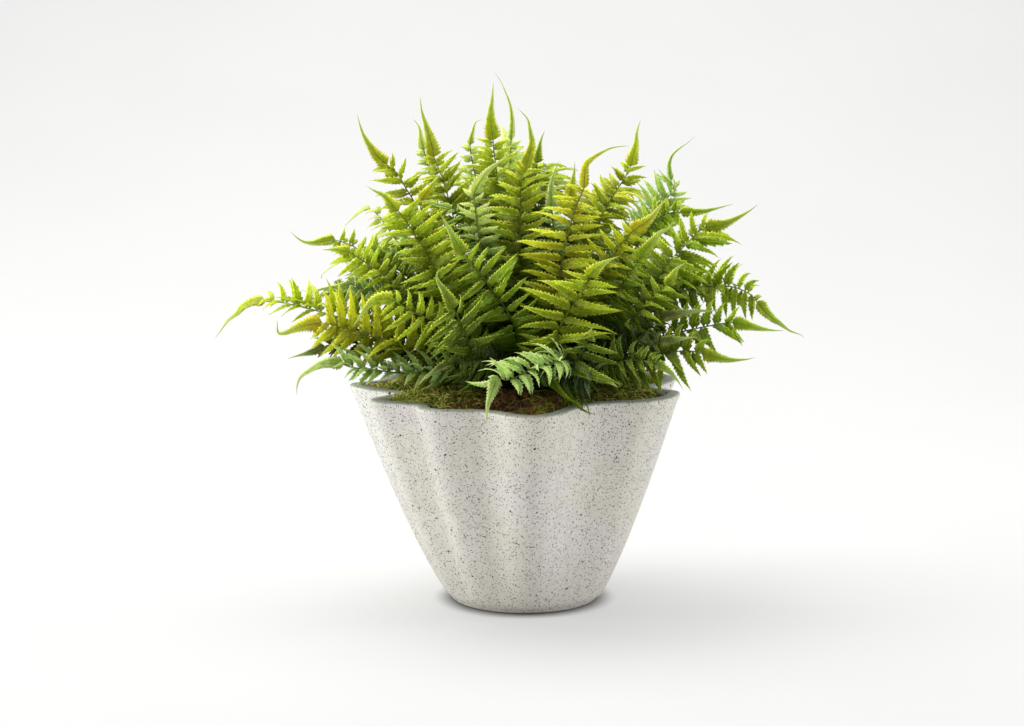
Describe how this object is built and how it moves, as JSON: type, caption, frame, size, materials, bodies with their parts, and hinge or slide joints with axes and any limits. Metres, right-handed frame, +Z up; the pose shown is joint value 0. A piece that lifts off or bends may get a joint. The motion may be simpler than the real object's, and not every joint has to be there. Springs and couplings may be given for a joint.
{
  "type": "potted leather fern",
  "caption": "Bushy fern with toothed once-divided fronds growing from a moss-topped fluted, speckled stone-finish planter.",
  "frame": {"origin": "centre of the planter's round base, on the surface it stands on", "axes": "+Z up; -Y towards the front of the plant, +X to its right as seen from the front"},
  "size_m": [0.5345, 0.4051, 0.4873],
  "materials": {
    "pot": "matte speckled",
    "growing_block": "coarse fibrous",
    "moss": "matte fibrous",
    "frond_lime": "satin, finely veined",
    "frond_gold": "satin, finely veined",
    "frond_olive": "satin, finely veined",
    "frond_green": "satin, finely veined",
    "frond_deep_green": "satin, finely veined",
    "frond_blue_green": "satin, finely veined",
    "frond_pale": "satin, finely veined",
    "frond_mint": "satin, finely veined",
    "frond_shade": "satin, finely veined"
  },
  "bodies": {
    "root": {"pot": "pot", "growing_block": "growing_block", "moss_ring": "moss", "frond_left_01": "frond_lime", "frond_left_02": "frond_gold", "frond_left_03": "frond_shade", "frond_left_04": "frond_green", "frond_left_05": "frond_green", "frond_left_06": "frond_pale", "frond_left_07": "frond_lime", "frond_left_08": "frond_deep_green", "frond_left_09": "frond_blue_green", "frond_left_10": "frond_pale", "frond_upper_01": "frond_olive", "frond_upper_02": "frond_lime", "frond_upper_03": "frond_lime", "frond_upper_04": "frond_pale", "frond_upper_05": "frond_lime", "frond_upper_06": "frond_pale", "frond_upper_07": "frond_pale", "frond_upper_08": "frond_lime", "frond_upper_09": "frond_deep_green", "frond_upper_10": "frond_blue_green", "frond_upper_11": "frond_gold", "frond_centre_01": "frond_gold", "frond_upper_12": "frond_lime", "frond_upper_13": "frond_deep_green", "frond_upper_14": "frond_gold", "frond_right_01": "frond_green", "frond_right_02": "frond_green", "frond_right_03": "frond_green", "frond_right_04": "frond_deep_green", "frond_right_05": "frond_deep_green", "frond_right_06": "frond_shade", "frond_right_07": "frond_green", "frond_right_08": "frond_green", "frond_centre_02": "frond_lime", "frond_centre_03": "frond_green", "frond_centre_04": "frond_green", "frond_centre_05": "frond_lime", "frond_centre_06": "frond_pale", "frond_centre_07": "frond_gold", "frond_centre_08": "frond_blue_green", "frond_front_01": "frond_mint", "frond_front_02": "frond_shade", "frond_front_03": "frond_deep_green", "frond_front_04": "frond_shade", "frond_front_05": "frond_deep_green", "frond_front_06": "frond_shade", "frond_back_01": "frond_green", "frond_back_02": "frond_deep_green", "frond_back_03": "frond_lime", "frond_back_04": "frond_green", "frond_back_05": "frond_deep_green", "frond_back_06": "frond_lime", "frond_back_07": "frond_green", "frond_back_08": "frond_gold", "frond_back_09": "frond_deep_green", "frond_back_10": "frond_green", "frond_back_11": "frond_pale"}
  },
  "joints": []
}
